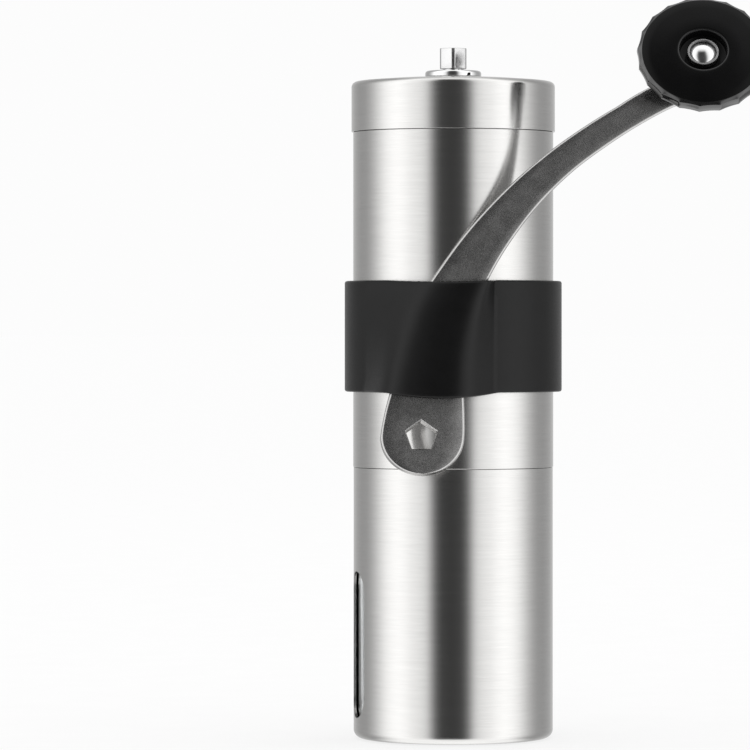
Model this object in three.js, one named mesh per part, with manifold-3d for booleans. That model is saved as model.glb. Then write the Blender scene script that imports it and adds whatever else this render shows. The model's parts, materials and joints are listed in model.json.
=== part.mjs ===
// Hand crank coffee grinder, in millimetres. +Z is up along the tube's axis, the cup's base is z = 0
// and the crank is stowed on the -Y side of the tube with its knob out towards +X.
import * as THREE from "three";
import { mergeVertices } from "three/addons/utils/BufferGeometryUtils.js";
import Module from "manifold-3d";

const wasm = await Module();
wasm.setup();

// ---- driving sizes ----
const TUBE_R = 23.55;
const TUBE_WALL = 0.6;
const CUP_R = 23.45;
const CUP_TOP = 63.6;
const SEAM_Z = 63.7;
const TUBE_TOP = 142.4;
const CAP_R = 23.95;
const CAP_Z = 142.5;
const CAP_TOP = 155.2;
const SHAFT_R = 3.0;
const HEAD_R = 3.47;
const HEAD_Z = 157.3;
const SHAFT_TOP = 162.2;
const SHAFT_END = 48;
const FLAT = 2.2;
const BUSH_BORE = 3.25;
const SLOT = { azimuth: 75, half: 5.2, low: 5.0, high: 39.3 };
const BURR = { ringR: 18.0, teeth: 20, coneTeeth: 14, low: 57.0, high: 69.5 };
const PLATE = 2.45;
const PLATE_Y = -25.55;
const PLATE_SLOPE = 0.0655;
const HUB = { x: -7.1, z: 71.2, r: 9.65, drop: 8.6, tilt: 16, bend: 78.2, socket: 3.72, socketX: -7.4 };
const PIVOT = new THREE.Vector3(57.4, -19.7, 154.1);
const KNOB_TILT = 31;
const BAND = { low: 81.4, high: 107.4, inner: 23.8, outer: 25.55, sag: 1.3, lean: -0.09 };
const ROUND = 80;

// ---- helpers ----
const rad = (degrees) => (degrees * Math.PI) / 180;
const group = new THREE.Group();
group.name = "hand_crank_coffee_grinder";

function weld(geometry) {
  const g = geometry.clone();
  g.deleteAttribute("normal");
  g.deleteAttribute("uv");
  return mergeVertices(g, 1e-4);
}

function solid(geometry) {
  const g = weld(geometry);
  const mesh = new wasm.Mesh({
    numProp: 3,
    vertProperties: Float32Array.from(g.attributes.position.array),
    triVerts: Uint32Array.from(g.index.array),
  });
  return new wasm.Manifold(mesh);
}

function toGeometry(body) {
  const mesh = body.getMesh();
  const g = new THREE.BufferGeometry();
  g.setAttribute("position", new THREE.BufferAttribute(Float32Array.from(mesh.vertProperties), 3));
  g.setIndex(new THREE.BufferAttribute(Uint32Array.from(mesh.triVerts), 1));
  return g;
}

function subtract(base, ...tools) {
  let body = solid(base);
  for (const tool of tools) {
    body = body.subtract(solid(tool));
  }
  return toGeometry(body);
}

function join(...pieces) {
  let body = solid(pieces[0]);
  for (const piece of pieces.slice(1)) {
    body = body.add(solid(piece));
  }
  return toGeometry(body);
}

function common(a, b) {
  return toGeometry(solid(a).intersect(solid(b)));
}

// A solid of revolution about Z from [radius, z] pairs.
function turned(profile, segments = ROUND) {
  const points = profile.map(([r, z]) => new THREE.Vector2(r, z));
  const g = new THREE.LatheGeometry(points, segments);
  g.rotateX(Math.PI / 2);
  return g;
}

// A ring or tube: a turned profile that closes on itself.
function ring(profile, segments = ROUND) {
  return turned([...profile, profile[0]], segments);
}

function tube(inner, outer, low, high, segments = ROUND) {
  return ring([[inner, low], [outer, low], [outer, high], [inner, high]], segments);
}

function rod(radius, low, high, segments = 48) {
  return turned([[0, low], [radius, low], [radius, high], [0, high]], segments);
}

// A quarter round from angle a to angle b, in degrees, as [radius, z] pairs.
function arc(r, z, size, a, b, steps = 5) {
  const out = [];
  for (let i = 0; i <= steps; i += 1) {
    const t = rad(a + ((b - a) * i) / steps);
    out.push([r + size * Math.cos(t), z + size * Math.sin(t)]);
  }
  return out;
}

// Moves every vertex of a geometry with a function of (x, y, z).
function warp(geometry, move) {
  const p = geometry.attributes.position;
  const v = new THREE.Vector3();
  for (let i = 0; i < p.count; i += 1) {
    v.fromBufferAttribute(p, i);
    move(v);
    p.setXYZ(i, v.x, v.y, v.z);
  }
  return geometry;
}

function prism(radius, sides, low, high, turn) {
  const g = new THREE.CylinderGeometry(radius, radius, high - low, sides);
  g.rotateX(Math.PI / 2);
  g.rotateZ(turn);
  g.translate(0, 0, (low + high) / 2);
  return g;
}

function block(x, y, z, w, d, h) {
  const g = new THREE.BoxGeometry(w, d, h);
  g.translate(x, y, z);
  return g;
}

function smooth(value, width) {
  if (value > width) {
    return value;
  }
  if (value < -width) {
    return 0;
  }
  return (value + width) ** 2 / (4 * width);
}

const looks = {
  steel: ["#b9bcbe", 0.3, 1.0],
  dark_steel: ["#8b8d8f", 0.4, 1.0],
  chrome: ["#d8dadc", 0.1, 1.0],
  brass: ["#b79a5a", 0.35, 1.0],
  ceramic: ["#eeece4", 0.35, 0.0],
  clear: ["#dfe6e8", 0.08, 0.0],
  black_plastic: ["#141415", 0.15, 0.0],
  grey_plastic: ["#2b2c2e", 0.5, 0.0],
  rubber: ["#1b1b1c", 0.75, 0.0],
};

function add(name, look, geometry) {
  const [color, roughness, metalness] = looks[look];
  const flat = geometry.index ? geometry.toNonIndexed() : geometry.clone();
  flat.deleteAttribute("normal");
  flat.computeVertexNormals();
  const material = new THREE.MeshStandardMaterial({ color, roughness, metalness });
  material.name = look;
  const mesh = new THREE.Mesh(flat, material);
  mesh.name = name;
  group.add(mesh);
}

// ---- cup ----
const cupProfile = [
  [0, 0],
  ...arc(CUP_R - 2, 2, 2, -90, 0, 4),
  [CUP_R, CUP_TOP],
  [CUP_R - TUBE_WALL, CUP_TOP],
  ...arc(CUP_R - 2, 2, 1.4, 0, -90, 2),
  [0, 0.7],
];
const slotShape = new THREE.Shape();
slotShape.moveTo(-SLOT.half, SLOT.low + SLOT.half);
slotShape.absarc(0, SLOT.low + SLOT.half, SLOT.half, Math.PI, 2 * Math.PI, false);
slotShape.absarc(0, SLOT.high - SLOT.half, SLOT.half, 0, Math.PI, false);
const slotTool = new THREE.ExtrudeGeometry(slotShape, { depth: 8, bevelEnabled: false, curveSegments: 9 });
slotTool.rotateX(Math.PI / 2);
slotTool.translate(0, -18.5, 0);
slotTool.rotateZ(-rad(SLOT.azimuth));
add("cup_shell", "steel", subtract(turned(cupProfile), slotTool));

const linerProfile = [
  [0, 1.1],
  ...arc(21.4, 2.2, 1.1, -90, 0, 2),
  [22.5, 46.6],
  [21.5, 46.6],
  [21.5, 2.4],
  [21.2, 2.1],
  [0, 2.1],
];
add("cup_liner", "clear", turned(linerProfile, 48));

// ---- body ----
add("body_tube", "steel", tube(TUBE_R - TUBE_WALL, TUBE_R, SEAM_Z, TUBE_TOP));

const housingShell = ring([
  [22.5, 49.0],
  [22.5, 84.0],
  [21.6, 84.0],
  [16.4, 72.0],
  [16.4, 70.3],
  [18.3, 70.3],
  [18.3, 49.0],
], 48);
const spokes = [];
for (let i = 0; i < 3; i += 1) {
  const spoke = block(0, 12.2, 80.0, 3.2, 19.6, 7.0);
  spoke.rotateZ(rad(60 + 120 * i));
  spokes.push(spoke);
}
const housingCore = join(housingShell, ...spokes, tube(5.4, 8.2, 76.5, 84.0, 40));
const housing = subtract(housingCore, rod(5.4, 60, 90));
add("burr_housing", "grey_plastic", housing);

// Ring burr: the bore is a cone with slanting saw teeth.
function saw(turns) {
  const f = turns - Math.floor(turns);
  return f < 0.72 ? f / 0.72 : (1 - f) / 0.28;
}

const ringBurr = ring([
  [18.0, 57.0],
  [18.0, 70.0],
  [12.2, 70.0],
  [12.7, 67.0],
  [14.2, 63.0],
  [15.7, 59.0],
  [16.3, 57.0],
], 80);
warp(ringBurr, (v) => {
  const r = Math.hypot(v.x, v.y);
  if (r < 17.5) {
    const angle = Math.atan2(v.y, v.x);
    const turns = (angle / (2 * Math.PI)) * BURR.teeth + (v.z - BURR.low) * 0.11;
    const k = (r - 0.9 * saw(turns)) / r;
    v.x *= k;
    v.y *= k;
  }
});
add("outer_burr", "ceramic", ringBurr);

add("burr_retaining_ring", "grey_plastic", ring([
  [16.7, 53.4],
  [18.0, 53.4],
  [18.0, 56.7],
  [16.7, 56.7],
], 40));

const bushProfile = (low, high) => [
  [BUSH_BORE, low],
  [5.1, low],
  [5.1, high],
  [7.2, high],
  [7.2, high + 1.2],
  [BUSH_BORE, high + 1.2],
];
add("lower_bush", "brass", ring(bushProfile(77.0, 84.3), 32));

const arms = [];
for (let i = 0; i < 3; i += 1) {
  const spoke = block(0, 14.0, 130.2, 4.0, 15.6, 1.6);
  spoke.rotateZ(rad(120 * i));
  arms.push(spoke);
}
const bracket = join(tube(21.4, 22.6, 126.5, 133.0, 48), ...arms, tube(5.4, 8.4, 127.5, 131.0, 40));
add("upper_bracket", "dark_steel", bracket);
add("upper_bush", "brass", ring(bushProfile(125.5, 131.3), 32));

// ---- shaft: round rod with two flats below, five-sided head above ----
const shaftRod = turned([
  [0, SHAFT_END],
  [2.1, SHAFT_END],
  [2.5, SHAFT_END + 0.4],
  [2.5, 57.2],
  [SHAFT_R, 57.2],
  [SHAFT_R, 156.6],
  [2.4, 157.0],
  [2.4, HEAD_Z + 0.5],
  [0, HEAD_Z + 0.5],
], 36);
const flats = [1, -1].map((side) => block(side * (FLAT + 2), 0, 63.2, 4, 8, 26.4));
const headTop = new THREE.CylinderGeometry(HEAD_R - 0.45, HEAD_R, 0.45, 5);
headTop.rotateX(Math.PI / 2);
headTop.rotateZ(Math.PI);
headTop.translate(0, 0, SHAFT_TOP - 0.225);
const headBody = prism(HEAD_R, 5, HEAD_Z, SHAFT_TOP - 0.45, Math.PI);
const flatRod = subtract(shaftRod, ...flats);
add("drive_shaft", "dark_steel", join(flatRod, headBody, headTop));

// ---- grind setting: spring, washers, cone, nut ----
class Helix extends THREE.Curve {
  constructor(radius, low, high, turns) {
    super();
    this.size = { radius, low, high, turns };
  }

  getPoint(t, target = new THREE.Vector3()) {
    const { radius, low, high, turns } = this.size;
    const a = t * turns * 2 * Math.PI;
    return target.set(radius * Math.cos(a), radius * Math.sin(a), low + (high - low) * t);
  }
}
const wire = new THREE.Shape();
wire.absarc(0, 0, 0.45, 0, 2 * Math.PI, false);
const springPath = new Helix(4.3, 71.2, 76.0, 3.5);
const spring = new THREE.ExtrudeGeometry(wire, {
  steps: 42,
  extrudePath: springPath,
  curveSegments: 4,
  bevelEnabled: false,
});
add("burr_spring", "steel", spring);
add("spring_washer", "steel", tube(BUSH_BORE, 6.2, 69.9, 70.5, 28));

const cone = ring([
  [6.0, 58.2],
  [14.2, 58.2],
  [14.2, 60.0],
  [12.6, 63.0],
  [10.9, 67.0],
  [9.4, 69.2],
  [6.0, 69.2],
], 70);
warp(cone, (v) => {
  const r = Math.hypot(v.x, v.y);
  if (r > 7) {
    const angle = Math.atan2(v.y, v.x);
    const turns = (angle / (2 * Math.PI)) * BURR.coneTeeth - (v.z - BURR.low) * 0.09;
    const k = (r - 1.2 * saw(turns)) / r;
    v.x *= k;
    v.y *= k;
  }
});
add("inner_burr", "ceramic", cone);

const carrierBody = turned([
  [0, 57.0],
  [9.5, 57.0],
  [9.5, 57.9],
  [5.7, 57.9],
  [5.7, 69.5],
  [0, 69.5],
], 36);
const keyBore = common(rod(BUSH_BORE, 50, 75), block(0, 0, 62, 2 * (FLAT + 0.25), 8, 26));
add("burr_carrier", "grey_plastic", subtract(carrierBody, keyBore));
add("stop_washer", "steel", tube(BUSH_BORE, 7.0, 56.1, 56.7, 28));

const nutProfile = [
  [2.75, 49.6],
  [8.3, 49.6],
  [9.0, 50.3],
  [9.0, 55.2],
  [8.4, 55.8],
  [2.75, 55.8],
];
const nutBody = warp(ring(nutProfile, 64), (v) => {
  const r = Math.hypot(v.x, v.y);
  if (r > 7) {
    const k = 1 - (0.35 / r) * (1 - Math.cos(16 * Math.atan2(v.y, v.x)));
    v.x *= k;
    v.y *= k;
  }
});
add("adjusting_nut", "grey_plastic", nutBody);

// ---- lid ----
const domeR = 22.65;
const capProfile = [
  [23.35, CAP_Z],
  [CAP_R, CAP_Z],
  [CAP_R, 153.0],
  ...arc(domeR, 153.0, 1.3, 22, 84, 3),
  [15.0, 154.9],
  [5.1, CAP_TOP],
  [5.1, CAP_TOP - 0.6],
  [15.0, 154.3],
  [22.4, 153.65],
  [23.35, 152.9],
];
add("lid_cap", "steel", ring(capProfile));

add("lid_collar", "chrome", ring([
  [3.9, 151.0],
  [4.8, 151.0],
  [4.8, 155.45],
  [6.6, 155.45],
  [6.6, 156.2],
  ...arc(6.0, 156.3, 0.6, 0, 90, 3),
  [4.3, 156.9],
  [3.9, 156.5],
], 36));

add("lid_liner", "grey_plastic", ring([
  [21.4, 136.2],
  [22.2, 136.2],
  [22.6, 136.8],
  [22.6, 152.4],
  [5.2, 152.4],
  [5.2, 151.2],
  [21.4, 151.2],
], 48));

// ---- crank arm: a flat plate swept along its centre line, then bent ----
const hubTilt = Math.tan(rad(HUB.tilt));
const endTilt = Math.tan(rad(KNOB_TILT));
function plateY(x, z) {
  const main = PLATE_Y + PLATE_SLOPE * x;
  const end = PIVOT.y + endTilt * (z - PIVOT.z);
  return main - smooth(hubTilt * (HUB.bend - z), 0.6) + smooth(end - main, 0.7);
}

function plateNormal(x, z) {
  const h = 0.05;
  const dx = (plateY(x + h, z) - plateY(x - h, z)) / (2 * h);
  const dz = (plateY(x, z + h) - plateY(x, z - h)) / (2 * h);
  return new THREE.Vector3(dx, -1, dz).normalize();
}

// [x, z, half width] down the middle of the arm, above the round of the hub.
const armLine = [
  [HUB.x, HUB.z, HUB.r],
  [-6.65, 76.0, 9.25],
  [-6.0, 81.0, 8.5],
  [-4.6, 90.1, 7.5],
  [-2.0, 99.5, 6.7],
  [2.1, 107.9, 5.6],
  [7.8, 116.7, 4.8],
  [16.1, 126.6, 4.0],
  [25.0, 134.8, 3.5],
  [33.4, 140.9, 3.3],
  [41.1, 145.7, 3.15],
  [48.9, 149.9, 3.15],
  [53.7, 152.2, 3.8],
  [PIVOT.x, PIVOT.z, 4.3],
];
const line = new THREE.CatmullRomCurve3(armLine.map(([x, z]) => new THREE.Vector3(x, 0, z)), false, "centripetal");
function widthAt(t) {
  const place = t * (armLine.length - 1);
  const i = Math.min(Math.floor(place), armLine.length - 2);
  const f = place - i;
  const before = armLine[Math.max(i - 1, 0)][2];
  const a = armLine[i][2];
  const b = armLine[i + 1][2];
  const after = armLine[Math.min(i + 2, armLine.length - 1)][2];
  const ma = i === 0 ? 0 : (b - before) / 2;
  const mb = i + 2 > armLine.length - 1 ? 0 : (after - a) / 2;
  const f2 = f * f;
  const f3 = f2 * f;
  return (2 * f3 - 3 * f2 + 1) * a + (f3 - 2 * f2 + f) * ma + (3 * f2 - 2 * f3) * b + (f3 - f2) * mb;
}

// Stations: [centre, direction across, half width], from the hub's lower edge to the far end.
const stations = [];
for (let i = 1; i < 9; i += 1) {
  const a = rad(10 * i);
  stations.push([HUB.x, HUB.z - HUB.drop * Math.cos(a), 1, 0, HUB.r * Math.sin(a)]);
}
const spans = 40;
for (let i = 0; i <= spans; i += 1) {
  const t = i / spans;
  const p = line.getPoint(t);
  const d = line.getTangent(t);
  const lean = Math.min(1, t * 5);
  const across = new THREE.Vector2(d.z * lean + (1 - lean), -d.x * lean).normalize();
  stations.push([p.x, p.z, across.x, across.y, widthAt(t)]);
}
const last = line.getTangent(1);
for (let i = 1; i < 6; i += 1) {
  const a = rad(15 * i);
  const reach = 4.3 * Math.sin(a);
  stations.push([PIVOT.x + last.x * reach, PIVOT.z + last.z * reach, last.z, -last.x, 4.3 * Math.cos(a)]);
}

const edge = 0.6;
const flatHalf = PLATE / 2 - edge;
const section = new THREE.Shape();
section.moveTo(1 - edge, -PLATE / 2);
section.absarc(1 - edge, -flatHalf, edge, -Math.PI / 2, 0, false);
section.absarc(1 - edge, flatHalf, edge, 0, Math.PI / 2, false);
section.lineTo(0.25, PLATE / 2);
section.lineTo(-0.25, PLATE / 2);
section.absarc(edge - 1, flatHalf, edge, Math.PI / 2, Math.PI, false);
section.absarc(edge - 1, -flatHalf, edge, Math.PI, 1.5 * Math.PI, false);
section.lineTo(-0.25, -PLATE / 2);
section.lineTo(0.25, -PLATE / 2);
const sweep = new THREE.ExtrudeGeometry(section, {
  steps: stations.length - 1,
  depth: stations.length - 1,
  curveSegments: 2,
  bevelEnabled: false,
});
warp(sweep, (v) => {
  const [cx, cz, ax, az, half] = stations[Math.round(v.z)];
  const side = Math.sign(v.x);
  const inset = 1 - Math.abs(v.x);
  const wide = Math.abs(v.x) < 0.3 ? v.x * (half - edge) : side * Math.max(half - inset, half * 0.3);
  const x = cx + ax * wide;
  const z = cz + az * wide;
  const n = plateNormal(x, z);
  const y = plateY(x, z);
  v.set(x - n.x * v.y, y - n.y * v.y, z - n.z * v.y);
});
const hubCentre = new THREE.Vector3(HUB.socketX, plateY(HUB.socketX, HUB.z), HUB.z);
const hubNormal = plateNormal(HUB.socketX, HUB.z);
const zAxis = new THREE.Vector3(0, 0, 1);
// Turns a tool made along +Z so that it lies along the hub's hole, with its +Y side up.
function alongNormal(geometry, normal, centre) {
  const back = normal.clone();
  const up = new THREE.Vector3(0, 0, 1).addScaledVector(back, -back.z).normalize();
  const side = new THREE.Vector3().crossVectors(up, back);
  const m = new THREE.Matrix4().makeBasis(side, up, back);
  m.setPosition(centre);
  geometry.applyMatrix4(m);
  return geometry;
}
const knobNormal = new THREE.Vector3(0, -Math.cos(rad(KNOB_TILT)), Math.sin(rad(KNOB_TILT)));
const socket = alongNormal(prism(HUB.socket, 5, -4, 4, Math.PI), hubNormal, hubCentre);
const eye = alongNormal(rod(1.75, -4, 4, 24), knobNormal, PIVOT);
add("crank_arm", "steel", subtract(sweep, socket, eye));

// ---- knob, made along +Z from the pivot ----
const flutes = 20;
const flutePhase = 0.25;
function scallop(angle) {
  const f = (angle / (2 * Math.PI)) * flutes + flutePhase;
  const u = 2 * (f - Math.floor(f)) - 1;
  return 1 - u * u;
}
const knobProfile = [
  [1.8, 2.5],
  [6.4, 2.5],
  [7.4, 3.1],
  [10.4, 5.2],
  [13.4, 7.6],
  [14.8, 8.4],
  [15.2, 8.9],
  [15.1, 10.9],
  [14.2, 11.35],
  [9.0, 11.85],
  [5.8, 12.02],
  [5.4, 11.8],
  [5.4, 9.4],
  [1.8, 9.4],
];
const knob = warp(ring(knobProfile, flutes * 4), (v) => {
  const r = Math.hypot(v.x, v.y);
  if (r > 9.3 && v.z < 11.3) {
    const depth = 0.34 * Math.min(1, (r - 9.2) / 5);
    const k = 1 - (depth / r) * scallop(Math.atan2(v.y, v.x));
    v.x *= k;
    v.y *= k;
  }
});
add("crank_knob", "black_plastic", alongNormal(knob, knobNormal, PIVOT));

const pin = turned([
  [0, -2.4],
  [1.6, -2.4],
  [2.3, -1.8],
  [2.3, -1.45],
  [1.5, -1.45],
  [1.5, 9.95],
  [2.85, 9.95],
  [2.85, 10.2],
  [2.3, 10.6],
  [1.3, 10.85],
  [0, 10.95],
], 32);
add("knob_pin", "chrome", alongNormal(pin, knobNormal, PIVOT));
const headWasher = ring([
  [1.8, 9.5],
  [3.6, 9.5],
  [3.6, 10.9],
  [3.4, 11.0],
  [3.1, 10.9],
  [3.1, 9.9],
  [1.8, 9.9],
], 32);
add("knob_head_washer", "steel", alongNormal(headWasher, knobNormal, PIVOT));
add("knob_washer", "steel", alongNormal(tube(1.8, 5.0, 1.45, 2.2, 28), knobNormal, PIVOT));

// ---- grip band: a rubber ring pushed out over the flat arm ----
function edgeAt(side, z) {
  const points = stations.map(([cx, cz, ax, az, half]) => [cx + side * half * ax, cz + side * half * az]);
  const i = points.findIndex((point, k) => k > 8 && point[1] > z);
  const [ax, az] = points[i - 1];
  const [bx, bz] = points[i];
  return ax + ((bx - ax) * (z - az)) / (bz - az);
}

// Columns of the ring, in degrees from -Y, that follow the two feet and two crests of the bulge.
const bandKeys = [-180, -43.2, -28.8, 10.8, 25.2, 180].map(rad);

// Point of the line circle - foot - crest - crest - foot - circle that belongs to a column.
function bulge(radius, feet, crests, front, slope, crown, column) {
  const points = [
    [feet[0], -Math.sqrt(radius ** 2 - feet[0] ** 2)],
    [crests[0], front],
    [crests[1], front + slope * (crests[1] - crests[0])],
    [feet[1], -Math.sqrt(radius ** 2 - feet[1] ** 2)],
  ];
  const angles = [-Math.PI, Math.atan2(feet[0], -points[0][1]), 0, 0, Math.atan2(feet[1], -points[3][1]), Math.PI];
  const next = bandKeys.findIndex((key) => key > column + 1e-6);
  const i = next < 0 ? 4 : next - 1;
  const f = (column - bandKeys[i]) / (bandKeys[i + 1] - bandKeys[i]);
  if (i === 0 || i === 4) {
    const angle = angles[i] + (angles[i + 1] - angles[i]) * f;
    return [radius * Math.sin(angle), -radius * Math.cos(angle)];
  }
  const [ax, ay] = points[i - 1];
  const [bx, by] = points[i];
  const rise = i === 2 ? crown * 4 * f * (1 - f) : 0;
  return [ax + (bx - ax) * f, ay + (by - ay) * f - rise];
}

const bandRows = 5;
const bandProfile = [];
for (let i = 0; i <= bandRows; i += 1) {
  bandProfile.push([BAND.inner, BAND.low + ((BAND.high - BAND.low) * i) / bandRows]);
}
bandProfile.push(...arc(BAND.outer - 0.5, BAND.high - 0.5, 0.5, 90, 0, 2));
for (let i = bandRows - 1; i >= 1; i -= 1) {
  bandProfile.push([BAND.outer, BAND.low + ((BAND.high - BAND.low) * i) / bandRows]);
}
bandProfile.push(...arc(BAND.outer - 0.5, BAND.low + 0.5, 0.5, 0, -90, 2));
bandProfile.reverse();
const band = warp(ring(bandProfile, 100), (v) => {
  const share = (Math.hypot(v.x, v.y) - BAND.inner) / (BAND.outer - BAND.inner);
  const column = Math.atan2(v.x, -v.y);
  const left = edgeAt(-1, v.z - 1) - 0.4;
  const right = edgeAt(1, v.z - 1) + 0.4;
  const front = PLATE_Y - PLATE / 2 + PLATE_SLOPE * left - 0.4;
  const innerFeet = [Math.min(-14.6, left - 0.5), Math.max(8.4, right + 0.9)];
  const outerFeet = [Math.min(-19.5, left - 5), Math.max(9.5, right + 1.9)];
  const inner = bulge(BAND.inner, innerFeet, [left, right], front, PLATE_SLOPE, 0, column);
  const outer = bulge(BAND.outer, outerFeet, [left - 0.9, right + 0.7], front - 0.9, BAND.lean, 1.1, column);
  const x = inner[0] + (outer[0] - inner[0]) * share;
  const y = inner[1] + (outer[1] - inner[1]) * share;
  const across = Math.max(0, 1 - ((x + 2.5) / 13) ** 2);
  const level = (v.z - BAND.low) / (BAND.high - BAND.low);
  const drop = y < 0 ? across * (BAND.sag * (1 - level) + 0.4 * level) : 0;
  v.set(x, y, v.z - drop);
});
add("grip_band", "rubber", band);

export default group;
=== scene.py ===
"""Hand crank coffee grinder: the looks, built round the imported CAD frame."""

import json
import math

import bpy
import numpy as np
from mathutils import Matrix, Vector

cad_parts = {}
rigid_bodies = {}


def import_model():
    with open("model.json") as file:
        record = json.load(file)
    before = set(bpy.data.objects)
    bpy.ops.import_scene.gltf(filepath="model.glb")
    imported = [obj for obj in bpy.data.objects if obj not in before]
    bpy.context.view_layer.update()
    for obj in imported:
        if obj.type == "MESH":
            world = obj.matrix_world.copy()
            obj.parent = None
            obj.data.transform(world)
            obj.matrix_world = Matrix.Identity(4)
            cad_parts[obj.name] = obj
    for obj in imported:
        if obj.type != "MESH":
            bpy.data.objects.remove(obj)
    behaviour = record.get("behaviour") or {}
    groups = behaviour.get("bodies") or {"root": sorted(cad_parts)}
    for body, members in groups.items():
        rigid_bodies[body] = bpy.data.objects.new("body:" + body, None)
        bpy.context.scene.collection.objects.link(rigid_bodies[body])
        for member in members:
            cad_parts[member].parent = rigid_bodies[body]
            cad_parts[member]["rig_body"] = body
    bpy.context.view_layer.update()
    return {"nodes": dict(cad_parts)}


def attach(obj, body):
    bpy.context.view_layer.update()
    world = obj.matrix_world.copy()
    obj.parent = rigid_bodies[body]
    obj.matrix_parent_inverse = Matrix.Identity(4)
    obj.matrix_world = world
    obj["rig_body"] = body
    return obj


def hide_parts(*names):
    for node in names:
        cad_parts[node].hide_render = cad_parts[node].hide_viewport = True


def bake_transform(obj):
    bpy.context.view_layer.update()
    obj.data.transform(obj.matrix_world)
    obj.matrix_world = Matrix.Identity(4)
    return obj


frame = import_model()

MM = 0.001

# ---------------------------------------------------------------- sizes, in millimetres
TUBE_R, TUBE_IN = 23.55, 22.95
CUP_R, CUP_TOP, CUP_CORNER = 23.45, 63.6, 2
SEAM_Z, TUBE_TOP = 63.7, 142.4
CAP_R, CAP_Z, CAP_TOP = 23.95, 142.5, 155.2
SLOT_AZIMUTH, SLOT_HALF, SLOT_LOW, SLOT_HIGH = 75.0, 5.2, 5.0, 39.3
SLOT_CUT_IN, SLOT_CUT_OUT = 18.5, 26.5
PLATE, PLATE_Y, PLATE_SLOPE = 2.45, -25.55, 0.0655
HUB_X, HUB_Z, HUB_R, HUB_DROP, HUB_TILT, HUB_BEND = -7.1, 71.2, 9.65, 8.6, 16.0, 78.2
SOCKET, SOCKET_X, SOCKET_CHAMFER = 3.72, -7.4, 0.32
END_R, EYE_R = 4.3, 1.75
TOOL_REACH = 4
PIVOT = np.array([57.4, -19.7, 154.1])
KNOB_TILT = 31.0
HUB_BLEND, END_BLEND = 0.6, 0.7
HEAD_R, HEAD_Z, SHAFT_TOP = 3.47, 157.3, 162.2
CORNER_LAND, CORNER_ROUND = 0.5, 0.14
BAND_LOW, BAND_HIGH, BAND_IN, BAND_OUT = 81.4, 107.4, 23.8, 25.55
BAND_SAG, BAND_TOP_SAG, BAND_LEAN, BAND_CROWN = 1.3, 0.4, -0.09, 1.1


# ---------------------------------------------------------------- materials
NOISE_LOW, NOISE_HIGH = 0.3, 0.7
EVEN = (1, 1, 1)


class Graph:
    """A short way to write a node tree."""

    def __init__(self, tree):
        self.tree = tree

    def add(self, kind):
        return self.tree.nodes.new(kind)

    def link(self, a, b):
        self.tree.links.new(a, b)

    def math(self, operation, a, b=None):
        node = self.add("ShaderNodeMath")
        node.operation = operation
        for socket, value in zip(node.inputs, (a, b)):
            if isinstance(value, bpy.types.NodeSocket):
                self.link(value, socket)
            elif value is not None:
                socket.default_value = value
        return node.outputs[0]

    def ramp(self, factor, stops):
        """Grey levels or colours at places along factor, straight between them."""
        node = self.add("ShaderNodeValToRGB")
        self.link(factor, node.inputs[0])
        ramp = node.color_ramp
        ramp.interpolation = "LINEAR"
        while len(ramp.elements) < len(stops):
            ramp.elements.new(0.5)
        for element, (place, value) in zip(ramp.elements, stops):
            element.position = place
            colour = value if hasattr(value, "__len__") else (value,) * 3
            element.color = (*colour, 1.0)
        return node.outputs[0]

    def map_range(self, value, low, high, to_low, to_high, smooth=False):
        node = self.add("ShaderNodeMapRange")
        node.interpolation_type = "SMOOTHSTEP" if smooth else "LINEAR"
        self.link(value, node.inputs["Value"])
        for name, number in (
            ("From Min", low),
            ("From Max", high),
            ("To Min", to_low),
            ("To Max", to_high),
        ):
            node.inputs[name].default_value = number
        return node.outputs["Result"]

    def spread(self, noise, low, high):
        """A noise's usual range mapped to low to high."""
        return self.map_range(noise, NOISE_LOW, NOISE_HIGH, low, high)

    def noise(self, vector, scale, detail, rough):
        node = self.add("ShaderNodeTexNoise")
        self.link(vector, node.inputs["Vector"])
        node.inputs["Scale"].default_value = scale
        node.inputs["Detail"].default_value = detail
        node.inputs["Roughness"].default_value = rough
        return node.outputs["Fac"]

    def stretched(self, scale):
        """The object's own coordinates, scaled along each axis."""
        place = self.add("ShaderNodeTexCoord")
        node = self.add("ShaderNodeMapping")
        self.link(place.outputs["Object"], node.inputs["Vector"])
        node.inputs["Scale"].default_value = scale
        return node.outputs["Vector"]

    def bump(self, height, strength, distance):
        node = self.add("ShaderNodeBump")
        self.link(height, node.inputs["Height"])
        node.inputs["Strength"].default_value = strength
        node.inputs["Distance"].default_value = distance
        return node.outputs["Normal"]


def new_material(name):
    material = bpy.data.materials.new(name)
    material.use_nodes = True
    graph = Graph(material.node_tree)
    shader = material.node_tree.nodes["Principled BSDF"]
    return material, graph, shader


def tint(graph, factor, low, high):
    """A colour that goes from low to high with factor."""
    return graph.ramp(factor, [(NOISE_LOW, low), (NOISE_HIGH, high)])


def shades(colour, darker, lighter):
    """The colour times each of two factors, the second kept under 1."""
    return [c * darker for c in colour], [min(1.0, c * lighter) for c in colour]


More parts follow.
